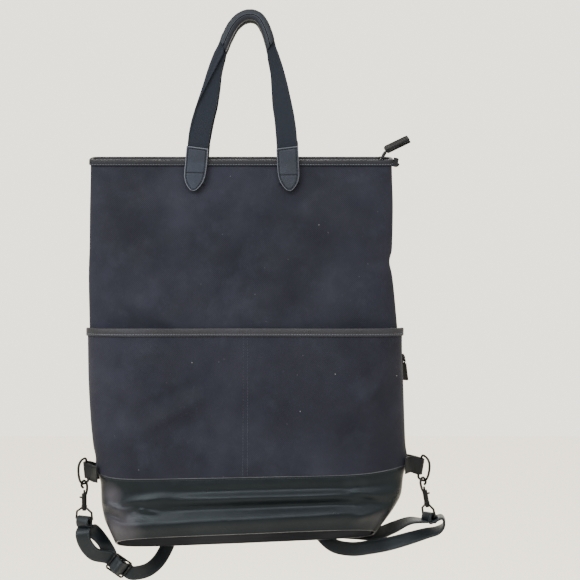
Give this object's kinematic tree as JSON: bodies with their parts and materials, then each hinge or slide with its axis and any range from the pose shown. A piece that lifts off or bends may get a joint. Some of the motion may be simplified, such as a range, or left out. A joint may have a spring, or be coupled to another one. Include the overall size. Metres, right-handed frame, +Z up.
{
  "type": "convertible backpack",
  "caption": "Flat canvas tote with a leather base, carry handles, a front pocket and clip-on shoulder straps, hanging by its handles.",
  "frame": {"origin": "the point under the tops of the carry handles, where a hook carries them", "axes": "+X to the viewer's right as the bag's front is looked at, -Y out of the front, +Z up"},
  "size_m": [0.4213, 0.095, 0.6515],
  "materials": {
    "canvas": "matt waxed canvas",
    "base_leather": "soft, slightly shiny",
    "binding_leather": "matt",
    "webbing": "matt woven",
    "grip_leather": "matt",
    "tab_leather": "matt",
    "strap_leather": "slightly shiny",
    "zip_tape": "matt",
    "black_metal": "satin black"
  },
  "bodies": {
    "bag": {"canvas_body": "canvas", "front_pocket": "canvas", "leather_base": "base_leather", "base_panel": "base_leather", "mouth_binding": "binding_leather", "pocket_binding": "binding_leather", "handle_front": "webbing", "handle_back": "webbing", "grip_front": "grip_leather", "grip_back": "grip_leather", "handle_tab_front_left": "tab_leather", "handle_tab_front_right": "tab_leather", "handle_tab_back_left": "tab_leather", "handle_tab_back_right": "tab_leather", "ring_tab_left": "tab_leather", "ring_tab_right": "tab_leather", "strap_patch": "tab_leather", "strap_left": "strap_leather", "strap_right": "strap_leather", "top_zip": "zip_tape", "side_zip": "zip_tape", "top_zip_slider": "black_metal", "side_zip_slider": "black_metal", "ring_left": "black_metal", "hook_left": "black_metal", "eye_left": "black_metal", "slide_left": "black_metal", "ring_right": "black_metal", "hook_right": "black_metal", "eye_right": "black_metal", "slide_right": "black_metal"},
    "top_link": {"top_zip_link": "black_metal"},
    "top_pull": {"top_zip_pull": "tab_leather"},
    "side_pull": {"side_zip_pull": "black_metal"},
    "left_bolt": {"bolt_left": "black_metal"},
    "right_bolt": {"bolt_right": "black_metal"}
  },
  "joints": [
    {"name": "top_link_hinge", "type": "hinge", "parent": "bag", "child": "top_link", "pos_m": [0.14798, -0.00139, -0.15617], "axis": [0, 0.9469, 0.3215], "range_deg": [-40, 12]},
    {"name": "top_pull_hinge", "type": "hinge", "parent": "top_link", "child": "top_pull", "pos_m": [0.15487, -0.00494, -0.14573], "axis": [0, 0.9469, 0.3215], "range_deg": [-20, 12]},
    {"name": "side_pull_hinge", "type": "hinge", "parent": "bag", "child": "side_pull", "pos_m": [0.17427, 0.00686, -0.38335], "axis": [0.592, -0.806, 0], "range_deg": [0, 65]},
    {"name": "left_bolt_slide", "type": "slide", "parent": "bag", "child": "left_bolt", "axis": [0, 0, -1], "range_m": [0, 0.0045], "stiffness_N_per_m": 300, "springref_m": -0.002},
    {"name": "right_bolt_slide", "type": "slide", "parent": "bag", "child": "right_bolt", "axis": [0.1736, 0, -0.9848], "range_m": [0, 0.0045], "stiffness_N_per_m": 300, "springref_m": -0.002}
  ]
}
